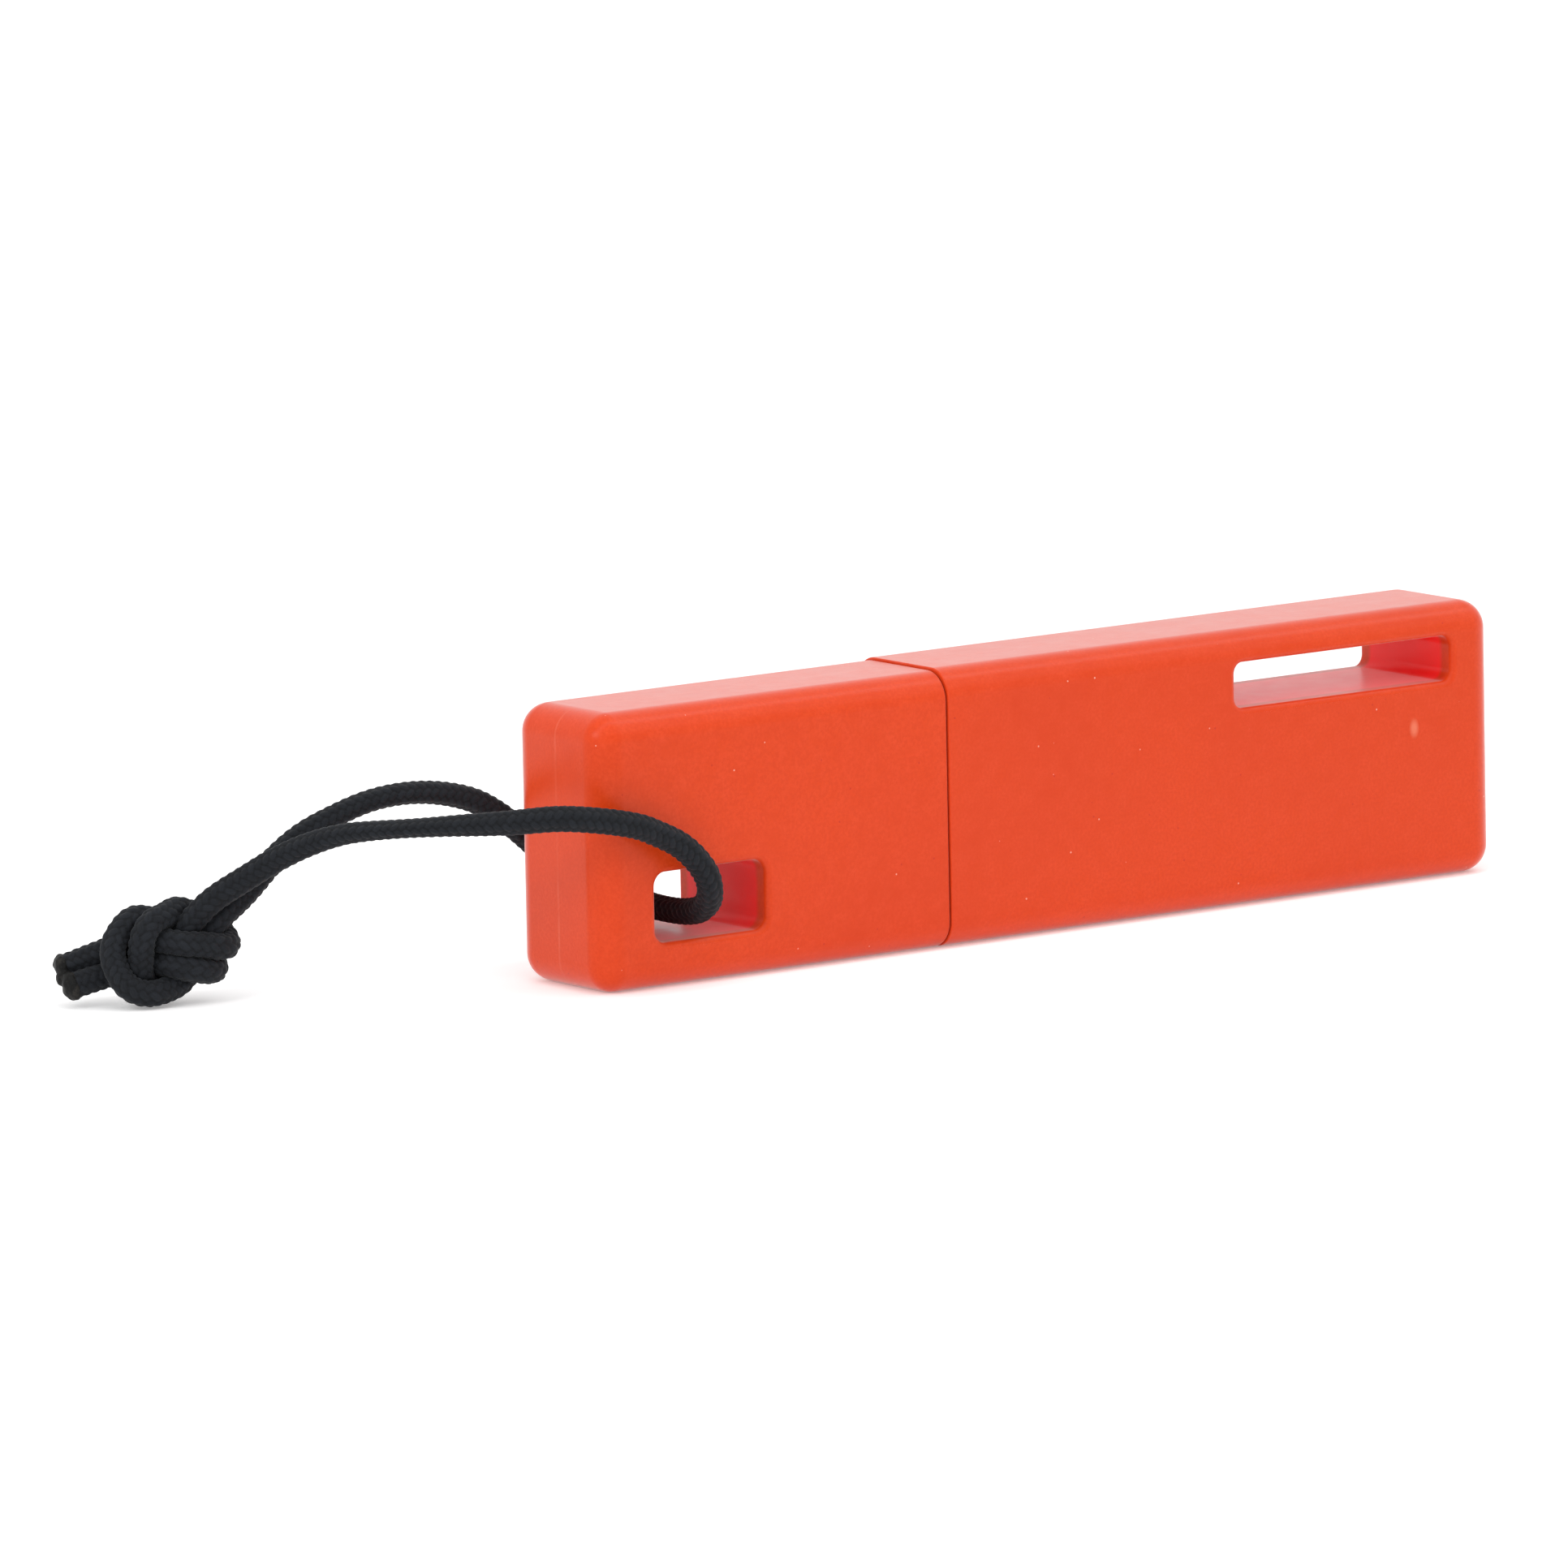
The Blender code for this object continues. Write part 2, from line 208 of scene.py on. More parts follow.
# A pale rub on the body's front, and the grains of the two kinds of speck in the plastic: cells per
# metre, size, share of the cells that hold one, and the shift of their grid
RUB_PLACE = (0.03645, BODY_LOW.y, 0.0127)
RUB_REACH = (0.0006, 0.0015, 0.0010)
FLECKS = (520, 0.055, 0.7, (0.013, 0.007, 0.002))
DUST = (700, 0.065, 0.25, (0.002, 0.011, 0.005))
# How deep below the outline the painted glow of the openings begins: a brighter, redder colour inside
# them stands in for light bounced between their walls and carried through the plastic
PAINTED_GLOW_SKIN = 0.00105
CAMERA_PLACE = (-0.7923, -1.0394, 0.2161)
CAMERA_VIEW = (-36.516, 8.886, -1.135)
# Long soft lights aimed at the whistle: name, place, length and width, and power in watts
STRIP_LIGHTS = [
    ("front_strip", (0, -0.055, 0.07), (0.24, 0.03), 0.012),
    ("top_strip", (0, -0.018, 0.085), (0.26, 0.012), 0.03),
    ("left_strip", (-0.24, -0.03, 0.13), (0.10, 0.06), 0.085),
]


def length_property(name, text, default):
    return FloatProperty(
        name=name, description=text, default=default, min=0, subtype="DISTANCE", unit="LENGTH"
    )


def colour_property(name, text, default):
    return FloatVectorProperty(
        name=name, description=text, default=default, min=0, max=1, size=3, subtype="COLOR"
    )


def number_property(name, text, default):
    return FloatProperty(name=name, description=text, default=default)


def count_property(name, text, default):
    return IntProperty(name=name, description=text, default=default)


class WhistleShellSizes(bpy.types.PropertyGroup):
    """Sizes of the two moulded shells."""

    edge_radius: length_property("Edge Radius", "Rounding of the outer edges", 0.0023)
    edge_segments: count_property("Edge Segments", "Steps in each rounded edge", 14)
    mouth_round: length_property("Mouth Rounding", "Rounding of the window's and slot's edges", 0.0005)
    rim_round: length_property("Rim Rounding", "Rounding of the rims where the shells meet", 0.00012)
    wall: length_property("Wall", "Thickness of the shell walls", 0.0016)
    gap: length_property("Gap", "Clearance between the pieces", 0.0003)
    window_length: length_property("Window Length", "Length of the cord window", 0.0108)
    window_height: length_property("Window Height", "Height of the cord window", 0.0056)
    window_margin: length_property("Window Margin", "From the cap's end to the window", 0.0052)
    window_floor: length_property("Window Floor", "From the resting face to the window", 0.0037)
    window_corner: length_property("Window Corner", "Corner radius of the window", 0.0011)
    slot_length: length_property("Slot Length", "Length of the strap slot", 0.0223)
    slot_height: length_property("Slot Height", "Height of the strap slot", 0.0037)
    slot_end_margin: length_property("Slot End Margin", "From the slot to the body's end", 0.0045)
    slot_top_margin: length_property("Slot Top Margin", "From the slot to the top face", 0.0025)
    slot_corner: length_property("Slot Corner", "Corner radius of the slot", 0.0009)
    rim_reach: length_property("Rim Reach", "How far each rim reaches into the split", 0.00008)
    parting_width: length_property("Parting Width", "Half width of the mould's parting line", 0.00009)
    parting_height: length_property("Parting Height", "How far the parting line stands out", 0.00004)


class WhistleCoreSizes(bpy.types.PropertyGroup):
    """Sizes of the sound core, its blocks and plugs."""

    wall: length_property("Wall", "Thickness of the chamber walls", 0.0016)
    corner: length_property("Corner", "Corner radius of the core's long edges", 0.0012)
    divider: length_property("Divider", "Thickness between the two chambers", 0.0012)
    voice_length: length_property("Voice Length", "Length of each voicing window", 0.0032)
    voice_ramp: length_property("Voice Ramp", "Run of each voicing lip", 0.0014)
    voice_side: length_property("Voice Side", "Wall left on each side of a voicing window", 0.0005)
    ring_depth: length_property("Ring Depth", "Depth of the groove for the ring", 0.0009)
    edge_round: length_property("Edge Rounding", "Rounding of the moulded edges", 0.00012)


class WhistleCordSizes(bpy.types.PropertyGroup):
    """Sizes of the braided cord."""

    diameter: length_property("Diameter", "Diameter of the cord", 0.0021)
    length: length_property("Length", "Length of the whole cord from tip to tip", 0.182)
    columns: count_property("Columns", "Rows of braid round the cord", 8)
    pitch: length_property("Pitch", "Length of one stitch along the cord", 0.00070)
    relief: length_property("Relief", "Depth of the braid", 0.00014)
    sides: count_property("Sides", "Sides of the cord's mesh", 64)
    ring_spacing: length_property("Ring Spacing", "Distance between the rings of its mesh", 0.000135)
    tip_radius: length_property("Tip Radius", "Radius of the melted tips", 0.00118)
    squeeze: number_property("Squeeze", "Share of its width the cord keeps in the knot", 0.86)


class WhistleFinishes(bpy.types.PropertyGroup):
    """Colours of the finishes."""

    orange: colour_property("Orange", "Soft orange plastic of the shells", (0.655, 0.050, 0.002))
    # Painted light: this brighter, redder orange inside the openings stands in for light bounced
    # between their walls and carried through the plastic.
    painted_glow: colour_property("Hidden Orange", "Unworn plastic inside the openings", (0.95, 0.022, 0.018))
    fleck: colour_property("Flecks", "Deep red flecks in the orange", (0.42, 0.012, 0.008))
    dust: colour_property("Dust", "Pale dust on the orange", (0.95, 0.62, 0.50))
    rub: colour_property("Rub", "A pale rubbed place on the body", (0.90, 0.36, 0.22))
    seam: colour_property("Seam", "The mould's parting line", (0.86, 0.30, 0.19))
    core: colour_property("Core", "Dark plastic of the core", (0.030, 0.032, 0.036))
    rubber: colour_property("Rubber", "Rubber of the friction ring", (0.015, 0.015, 0.016))
    bloom: colour_property("Bloom", "Grey bloom on the rubber", (0.045, 0.045, 0.046))
    cord: colour_property("Cord", "Charcoal yarn of the cord", (0.0075, 0.0088, 0.0115))
    melted: colour_property("Melted", "Melted ends of the cord", (0.009, 0.0088, 0.0085))
    scorched: colour_property("Scorched", "Pale places on the melted ends", (0.030, 0.027, 0.024))


class WhistleStageSizes(bpy.types.PropertyGroup):
    """Camera, floor and light."""

    lens: number_property("Lens", "Focal length in millimetres", 379.3)
    floor_size: length_property("Floor Size", "Side of the plain floor", 8.0)
    sky: number_property("Sky", "Strength of the even light all round", 1.0)


# ---------------------------------------------------------------- modelling helpers


def deselect_all():
    if bpy.context.object and bpy.context.object.mode != "OBJECT":
        bpy.ops.object.mode_set(mode="OBJECT")
    bpy.ops.object.select_all(action="DESELECT")


def activate(obj):
    deselect_all()
    obj.select_set(True)
    bpy.context.view_layer.objects.active = obj


def named(name):
    """The new primitive, with its place and size moved into its mesh."""
    obj = bpy.context.active_object
    obj.name = name
    obj.data.name = name
    bpy.ops.object.transform_apply(location=True, rotation=True, scale=True)
    return obj


def add_block(name, low, high):
    deselect_all()
    low, high = Vector(low), Vector(high)
    bpy.ops.mesh.primitive_cube_add(size=1, location=(low + high) / 2, scale=high - low)
    return named(name)


def apply_modifier(obj, kind, **settings):
    activate(obj)
    step = obj.modifiers.new(kind.lower(), kind)
    for key, value in settings.items():
        setattr(step, key, value)
    bpy.ops.object.modifier_apply(modifier=step.name)


def subtract(obj, cutter):
    apply_modifier(obj, "BOOLEAN", operation="DIFFERENCE", solver="EXACT", object=cutter)
    bpy.data.objects.remove(cutter, do_unlink=True)


def select_edges(obj, wanted):
    """Opens the object in edit mode with only the edges that pass the test selected."""
    activate(obj)
    bpy.ops.object.mode_set(mode="EDIT")
    bpy.ops.mesh.select_mode(type="EDGE")
    bpy.ops.mesh.select_all(action="DESELECT")
    shape = bmesh.from_edit_mesh(obj.data)
    for edge in shape.edges:
        edge.select_set(wanted(edge))
    bmesh.update_edit_mesh(obj.data)


def bevel_edges(obj, wanted, width, segments):
    select_edges(obj, wanted)
    bpy.ops.mesh.bevel(
        offset=width, segments=segments, profile=0.5, affect="EDGES", clamp_overlap=False,
        loop_slide=True,
    )
    bpy.ops.object.mode_set(mode="OBJECT")


def edge_along(axis):
    """A test for straight edges that run along one axis."""

    def test(edge):
        a, b = (v.co for v in edge.verts)
        return all(abs(a[i] - b[i]) < SAME for i in range(3) if i != axis)

    return test


def edge_off_plane(axis, place):
    """A test for edges that do not lie in one flat end."""

    def test(edge):
        return any(abs(v.co[axis] - place) > SAME for v in edge.verts)

    return test


def sharp_in_plane(axis, place):
    """A test for sharp edges that lie in one flat end."""

    def test(edge):
        if any(abs(v.co[axis] - place) > SAME for v in edge.verts):
            return False
        return len(edge.link_faces) == 2 and edge.calc_face_angle(0) > SHARP

    return test


def tidy_surface(obj, angle=40):
    """Merges stray points, then shades the flats flat and the rounds round."""
    activate(obj)
    bpy.ops.object.mode_set(mode="EDIT")
    bpy.ops.mesh.select_all(action="SELECT")
    bpy.ops.mesh.remove_doubles(threshold=SAME)
    bpy.ops.object.mode_set(mode="OBJECT")
    bpy.ops.object.shade_smooth_by_angle(angle=math.radians(angle))
    apply_modifier(obj, "WEIGHTED_NORMAL", mode="FACE_AREA", weight=80, keep_sharp=True)


def round_bar(name, low, high, corner, segments, axis=0):
    """A block whose edges along one axis are rounded."""
    obj = add_block(name, low, high)
    if corner > 0:
        bevel_edges(obj, edge_along(axis), corner, segments)
    return obj


def flared_hole(name, low, high, corner, mouth):
    """A cutter along Y with rounded corners and a mouth that flares out at each face."""
    face = low[1]
    slab_low = (low[0] - mouth, face - PAST, low[2] - mouth)
    slab_high = (high[0] + mouth, face + FLARE_START, high[2] + mouth)
    hole = round_bar(name, slab_low, slab_high, corner + mouth, HOLE_STEPS, axis=1)
    activate(hole)
    bpy.ops.object.mode_set(mode="EDIT")
    bpy.ops.mesh.select_mode(type="FACE")
    bpy.ops.mesh.select_all(action="DESELECT")
    shape = bmesh.from_edit_mesh(hole.data)
    for side in shape.faces:
        side.select_set(side.normal.y > 0.9)
    bmesh.update_edit_mesh(hole.data)
    turns = [math.radians(90) * k / FLARE_STEPS for k in range(FLARE_STEPS + 1)]
    for before, after in zip(turns, turns[1:]):
        inward = mouth * (math.sin(after) - math.sin(before))
        deeper = mouth * (math.cos(before) - math.cos(after))
        bpy.ops.mesh.inset(thickness=inward, depth=deeper, use_even_offset=True)
    run = -face - FLARE_START - mouth
    bpy.ops.mesh.extrude_region_move(TRANSFORM_OT_translate={"value": (0, run, 0)})
    bpy.ops.mesh.delete(type="FACE")
    bpy.ops.object.mode_set(mode="OBJECT")
    apply_modifier(hole, "MIRROR", use_axis=(False, True, False), merge_threshold=1e-5)
    return hole


def finish_piece(obj, material, body, slot, *nodes):
    obj.data.materials.clear()
    obj.data.materials.append(material)
    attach(obj, body)
    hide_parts(*nodes)


# ---------------------------------------------------------------- materials


def new_material(name):
    material = bpy.data.materials.new(name)
    material.use_nodes = True
    tree = material.node_tree
    return material, tree, tree.nodes["Principled BSDF"]


def add_node(tree, kind, **settings):
    node = tree.nodes.new(kind)
    for key, value in settings.items():
        setattr(node, key, value)
    return node


def set_inputs(node, values):
    for name, value in values.items():
        node.inputs[name].default_value = value


def link(tree, source, target):
    tree.links.new(source, target)


def math_node(tree, operation, first, second=None):
    node = add_node(tree, "ShaderNodeMath", operation=operation)
    for socket, value in zip(node.inputs, (first, second)):
        if value is None:
            continue
        if isinstance(value, (int, float)):
            socket.default_value = value
        else:
            link(tree, value, socket)
    return node.outputs["Value"]


def vector_node(tree, operation, first, second=None):
    node = add_node(tree, "ShaderNodeVectorMath", operation=operation)
    link(tree, first, node.inputs[0])
    if second is not None:
        node.inputs[1].default_value = second
    return node.outputs["Value" if operation == "LENGTH" else "Vector"]


def object_place(tree):
    return add_node(tree, "ShaderNodeTexCoord").outputs["Object"]


def split(tree, vector):
    parts = add_node(tree, "ShaderNodeSeparateXYZ")
    link(tree, vector, parts.inputs["Vector"])
    return parts.outputs["X"], parts.outputs["Y"], parts.outputs["Z"]


def noise(tree, vector, scale, detail=3.0, roughness=0.5):
    node = add_node(tree, "ShaderNodeTexNoise")
    set_inputs(node, {"Scale": scale, "Detail": detail, "Roughness": roughness})
    link(tree, vector, node.inputs["Vector"])
    return node.outputs["Fac"]


def spread(tree, value, low, high, to_low, to_high, interpolation="LINEAR"):
    node = add_node(tree, "ShaderNodeMapRange", interpolation_type=interpolation)
    set_inputs(node, {"From Min": low, "From Max": high, "To Min": to_low, "To Max": to_high})
    link(tree, value, node.inputs["Value"])
    return node.outputs["Result"]


def mix_colours(tree, factor, first, second, blend="MIX"):
    node = add_node(tree, "ShaderNodeMix", data_type="RGBA", blend_type=blend)
    for index, value in ((0, factor), (6, first), (7, second)):
        if isinstance(value, bpy.types.NodeSocket):
            link(tree, value, node.inputs[index])
        else:
            node.inputs[index].default_value = value
    return node.outputs[2]


def specks(tree, vector, scale, size, share, offset):
    """A mask of small specks, one in some of the cells of a loose grid."""
    shift = add_node(tree, "ShaderNodeMapping")
    shift.inputs["Location"].default_value = offset
    link(tree, vector, shift.inputs["Vector"])
    cells = add_node(tree, "ShaderNodeTexVoronoi")
    cells.inputs["Scale"].default_value = scale
    link(tree, shift.outputs["Vector"], cells.inputs["Vector"])
    near = spread(tree, cells.outputs["Distance"], size * 0.6, size, 1.0, 0.0)
    colour = add_node(tree, "ShaderNodeSeparateColor")
    link(tree, cells.outputs["Color"], colour.inputs["Color"])
    chosen = math_node(tree, "LESS_THAN", colour.outputs["Red"], share)
    return math_node(tree, "MULTIPLY", near, chosen)


def spot(tree, vector, centre, reach):
    """A soft round mask about a place, with its own reach along each axis."""
    scaled = vector_node(tree, "DIVIDE", vector_node(tree, "SUBTRACT", vector, centre), reach)
    return spread(tree, vector_node(tree, "LENGTH", scaled), 0.2, 1.0, 1.0, 0.0, "SMOOTHSTEP")


def inside_box(tree, vector, low, high, skin):
    """A mask of the places deeper inside a box than the skin."""
    low, high = Vector(low), Vector(high)
    mirrored = vector_node(tree, "ABSOLUTE", vector_node(tree, "SUBTRACT", vector, (low + high) / 2))
    x, y, z = split(tree, vector_node(tree, "SUBTRACT", mirrored, (high - low) / 2))
    furthest = math_node(tree, "MAXIMUM", math_node(tree, "MAXIMUM", x, y), z)
    return spread(tree, furthest, -1.6 * skin, -skin, 1.0, 0.0, "SMOOTHSTEP")


def add_bump(tree, shader, height, strength, distance):
    bump = add_node(tree, "ShaderNodeBump")
    set_inputs(bump, {"Strength": strength, "Distance": distance})
    link(tree, height, bump.inputs["Height"])
    link(tree, bump.outputs["Normal"], shader.inputs["Normal"])


def soft_orange_plastic():
    """Matt soft-touch plastic with a fine grain, faint mottling, moulding flecks, dust, and painted
    light: a brighter, redder colour inside the openings that stands in for light bounced and carried
    through the plastic.
    """
    finishes = bpy.context.scene.whistle_finishes
    material, tree, shader = new_material("soft_orange_plastic")
    place = object_place(tree)
    red, green, blue = finishes.orange
    base = (red, green, blue, 1)
    paler = (*(min(1, c * 1.04 + 0.012) for c in base[:3]), 1)
    deeper = (red * 0.90, green * 0.80, blue * 0.78, 1)
    cloud = spread(tree, noise(tree, place, 70, 2), 0.3, 0.7, 0, 1)
    mottle = spread(tree, noise(tree, place, 650, 4, 0.6), 0.3, 0.7, 0, 1)
    colour = mix_colours(tree, cloud, deeper, base)
    colour = mix_colours(tree, math_node(tree, "MULTIPLY", mottle, 0.55), colour, paler)
    fine = spread(tree, noise(tree, place, 3800, 2, 0.6), 0.35, 0.65, 0, 0.8)
    colour = mix_colours(tree, fine, colour, deeper)
    marks = (
        (specks(tree, place, *FLECKS), 0.55, finishes.fleck),
        (specks(tree, place, *DUST), 0.5, finishes.dust),
        (spot(tree, place, RUB_PLACE, RUB_REACH), 0.35, finishes.rub),
    )
    for mask, share, tone in marks:
        colour = mix_colours(tree, math_node(tree, "MULTIPLY", mask, share), colour, (*tone, 1))
    off_middle = math_node(tree, "ABSOLUTE", split(tree, place)[1])
    seam = spread(tree, off_middle, 0.00005, 0.00017, 0.13, 0.0)
    broken = spread(tree, noise(tree, place, 350, 3), 0.42, 0.6, 0.3, 1.0)
    seam = math_node(tree, "MULTIPLY", seam, broken)
    colour = mix_colours(tree, seam, colour, (*finishes.seam, 1))
    # Painted glow: inside the openings the colour turns brighter and redder, standing in for light
    # bounced between the walls and carried through the plastic.
    painted_glow_mask = inside_box(tree, place, CAP_LOW, BODY_HIGH, PAINTED_GLOW_SKIN)
    colour = mix_colours(tree, painted_glow_mask, colour, (*finishes.painted_glow, 1))
    link(tree, colour, shader.inputs["Base Color"])
    link(tree, spread(tree, mottle, 0, 1, 0.28, 0.36), shader.inputs["Roughness"])
    set_inputs(
        shader,
        {
            "IOR": 1.3,
            "Sheen Weight": 0.58,
            "Sheen Roughness": 0.3,
            "Subsurface Weight": 0.15,
            "Subsurface Radius": (1.0, 0.3, 0.12),
            "Subsurface Scale": 0.001,
        },
    )
    grain = noise(tree, place, 4200, 2, 0.55)
    wave = noise(tree, place, 420, 3, 0.5)
    height = math_node(tree, "ADD", math_node(tree, "MULTIPLY", grain, 0.35), wave)
    add_bump(tree, shader, height, 0.35, 0.00004)
    return material


def core_plastic():
    """Dark hard plastic with a fine spark-eroded grain."""
    finishes = bpy.context.scene.whistle_finishes
    material, tree, shader = new_material("dark_core_plastic")
    place = object_place(tree)
    mottle = spread(tree, noise(tree, place, 900, 4, 0.6), 0.3, 0.7, 0, 1)
    base = (*finishes.core, 1)
    paler = (*(c * 1.35 for c in finishes.core), 1)
    link(tree, mix_colours(tree, mottle, base, paler), shader.inputs["Base Color"])
    link(tree, spread(tree, mottle, 0, 1, 0.34, 0.46), shader.inputs["Roughness"])
    add_bump(tree, shader, noise(tree, place, 5200, 3, 0.6), 0.3, 0.00003)
    return material


def seal_rubber():
    """Dull black rubber with a little bloom."""
    finishes = bpy.context.scene.whistle_finishes
    material, tree, shader = new_material("black_seal_rubber")
    place = object_place(tree)
    bloom = spread(tree, noise(tree, place, 500, 4, 0.6), 0.35, 0.75, 0, 1)
    base, pale = (*finishes.rubber, 1), (*finishes.bloom, 1)
    link(tree, mix_colours(tree, bloom, base, pale), shader.inputs["Base Color"])
    link(tree, spread(tree, bloom, 0, 1, 0.62, 0.85), shader.inputs["Roughness"])
    add_bump(tree, shader, noise(tree, place, 3500, 3, 0.6), 0.4, 0.00004)
    return material


def braided_yarn():
    """Charcoal yarn: each stitch has its own tone and fine filaments, and painted shade darkens the
    gaps between the stitches.
    """
    finishes = bpy.context.scene.whistle_finishes
    material, tree, shader = new_material("charcoal_braid")
    chart = add_node(tree, "ShaderNodeUVMap", uv_map="braid")
    column, run, _ = split(tree, chart.outputs["UV"])
    rising = math_node(tree, "ADD", column, run)
    falling = math_node(tree, "SUBTRACT", column, run)
    rising_cell = math_node(tree, "FLOOR", rising)
    falling_cell = math_node(tree, "FLOOR", falling)
    turn = math_node(tree, "FLOORED_MODULO", math_node(tree, "ADD", rising_cell, falling_cell), 4)
    on_top = math_node(tree, "LESS_THAN", turn, 1.5)
    under = math_node(tree, "SUBTRACT", 1, on_top)

    def pick(upper, lower):
        upper = math_node(tree, "MULTIPLY", upper, on_top)
        lower = math_node(tree, "MULTIPLY", lower, under)
        return math_node(tree, "ADD", upper, lower)

    across, lengthwise = pick(rising, falling), pick(falling, rising)
    second_way = math_node(tree, "MULTIPLY", on_top, 37)
    carrier = math_node(tree, "ADD", pick(rising_cell, falling_cell), second_way)
    tone = add_node(tree, "ShaderNodeTexWhiteNoise", noise_dimensions="1D")
    link(tree, carrier, tone.inputs["W"])
    filament_place = add_node(tree, "ShaderNodeCombineXYZ")
    link(tree, math_node(tree, "MULTIPLY", across, 11), filament_place.inputs["X"])
    link(tree, math_node(tree, "MULTIPLY", lengthwise, 0.9), filament_place.inputs["Y"])
    filaments = noise(tree, filament_place.outputs["Vector"], 1, 3, 0.6)
    relief = add_node(tree, "ShaderNodeAttribute", attribute_name="relief").outputs["Fac"]
    light = (*(c * 1.9 for c in finishes.cord), 1)
    dark = (*(c * 0.55 for c in finishes.cord), 1)
    shade = spread(tree, filaments, 0.3, 0.7, 0, 0.7)
    shade = math_node(tree, "ADD", shade, math_node(tree, "MULTIPLY", tone.outputs["Value"], 0.3))
    colour = mix_colours(tree, shade, dark, light)
    # Painted shade: the colour is darkened down to a quarter in the gaps between the stitches, where
    # the braid's relief falls into shade.
    gap = spread(tree, relief, 0.0, 0.55, 0.25, 1.0)
    colour = mix_colours(tree, 1.0, colour, grey(tree, gap), "MULTIPLY")
    link(tree, colour, shader.inputs["Base Color"])
    link(tree, spread(tree, filaments, 0, 1, 0.72, 0.9), shader.inputs["Roughness"])
    set_inputs(shader, {"Sheen Weight": 0.06, "Sheen Roughness": 0.45, "Specular IOR Level": 0.2})
    add_bump(tree, shader, filaments, 0.5, 0.00004)
    return material


def grey(tree, value):
    node = add_node(tree, "ShaderNodeCombineColor")
    for socket in ("Red", "Green", "Blue"):
        link(tree, value, node.inputs[socket])
    return node.outputs["Color"]


def melted_yarn():
    """Yarn ends that were melted shut: hard and lumpy, with pale scorched places."""
    finishes = bpy.context.scene.whistle_finishes
    material, tree, shader = new_material("melted_yarn")
    place = object_place(tree)
    scorch = spread(tree, noise(tree, place, 1400, 4, 0.6), 0.5, 0.7, 0, 1)
    dark = (*(c * 0.4 for c in finishes.melted), 1)
    pale = (*finishes.scorched, 1)
    link(tree, mix_colours(tree, scorch, dark, pale), shader.inputs["Base Color"])
    link(tree, spread(tree, scorch, 0, 1, 0.5, 0.75), shader.inputs["Roughness"])
    set_inputs(shader, {"Specular IOR Level": 0.15})
    add_bump(tree, shader, noise(tree, place, 2600, 3, 0.6), 0.5, 0.00008)
    return material


def plain_white():
    """Plain matt white for the floor, with a hint of its own light."""
    material, tree, shader = new_material("plain_white")
    place = object_place(tree)
    tint = spread(tree, noise(tree, place, 6, 2), 0.3, 0.7, 0, 1)
    colour = mix_colours(tree, tint, (0.90, 0.90, 0.90, 1), (0.92, 0.92, 0.92, 1))
    link(tree, colour, shader.inputs["Base Color"])
    set_inputs(shader, {"Roughness": 0.9, "Specular IOR Level": 0.1})
    set_inputs(shader, {"Emission Color": (1, 1, 1, 1), "Emission Strength": 0.22})
    return material


# ---------------------------------------------------------------- cord


def smooth_line(points, spacing, steps=20):
    """Evenly spaced points on a smooth curve through the given ones."""
    points = np.array(points, float)
    ends = np.vstack([2 * points[0] - points[1], points, 2 * points[-1] - points[-2]])
    t = np.linspace(0, 1, steps, endpoint=False)[:, None]
    pieces = []
    for a, b, c, d in zip(ends, ends[1:], ends[2:], ends[3:]):
        bend = (2 * a - 5 * b + 4 * c - d) * t**2 + (3 * b - a - 3 * c + d) * t**3
        pieces.append((2 * b + (c - a) * t + bend) / 2)
    fine = np.vstack(pieces + [points[-1:]])
    run = np.concatenate([[0], np.cumsum(np.linalg.norm(np.diff(fine, axis=0), axis=1))])
    count = round(run[-1] / spacing)
    stations = np.linspace(0, run[-1], count + 1)
    return np.stack([np.interp(stations, run, fine[:, k]) for k in range(3)], axis=1)


def view_axes(azimuth, elevation, roll):
    """Right, up and towards for a view from a direction, given in degrees."""
    azimuth, elevation, roll = (math.radians(turn) for turn in (azimuth, elevation, roll))
    flat = math.cos(elevation)
    towards = Vector((math.sin(azimuth) * flat, -math.cos(azimuth) * flat, math.sin(elevation)))
    level = Vector((math.cos(azimuth), math.sin(azimuth), 0))
    right = math.cos(roll) * level + math.sin(roll) * towards.cross(level)
    return right, towards.cross(right), towards


def knot_points(strand):
    right, up, towards = view_axes(*KNOT_VIEW)
    return [tuple(KNOT_CENTRE + right * x + up * y + towards * z) for x, y, z in strand]


def settle(line, free, apart_by, ground, spacing):
    """Relaxes the free stretches of the line until they lie on each other and on the ground."""
    rounds, pushes = 300, 2
    hold, relax, neighbours = 0.01, 0.3, 1.5
    line = line.copy()
    home = line.copy()
    loose = np.flatnonzero(free)
    first, second = np.triu_indices(len(loose), 1)
    first, second = loose[first], loose[second]
    apart = np.abs(first - second) * spacing > neighbours * apart_by
    first, second = first[apart], second[apart]
    inner = loose[(loose > 0) & (loose < len(line) - 1)]
    weight = free.astype(float)[:, None]
    for _ in range(rounds):
        line[inner] += relax * (0.5 * (line[inner - 1] + line[inner + 1]) - line[inner])
        line += hold * (home - line) * weight
        line[:, 2] = np.maximum(line[:, 2], np.where(free, ground, line[:, 2]))
        for _ in range(pushes):
            between = line[second] - line[first]
            distance = np.linalg.norm(between, axis=1)
            close = distance < apart_by
            i, j = first[close], second[close]
            far = distance[close][:, None] + 1e-12
            push = (far - apart_by) / far * 0.5 * between[close]
            moved = np.zeros_like(line)
            count = np.zeros(len(line))
            np.add.at(moved, i, push)
            np.add.at(moved, j, -push)
            np.add.at(count, i, 1)
            np.add.at(count, j, 1)
            line += moved / np.maximum(1, count * 0.5)[:, None] * weight
    return line


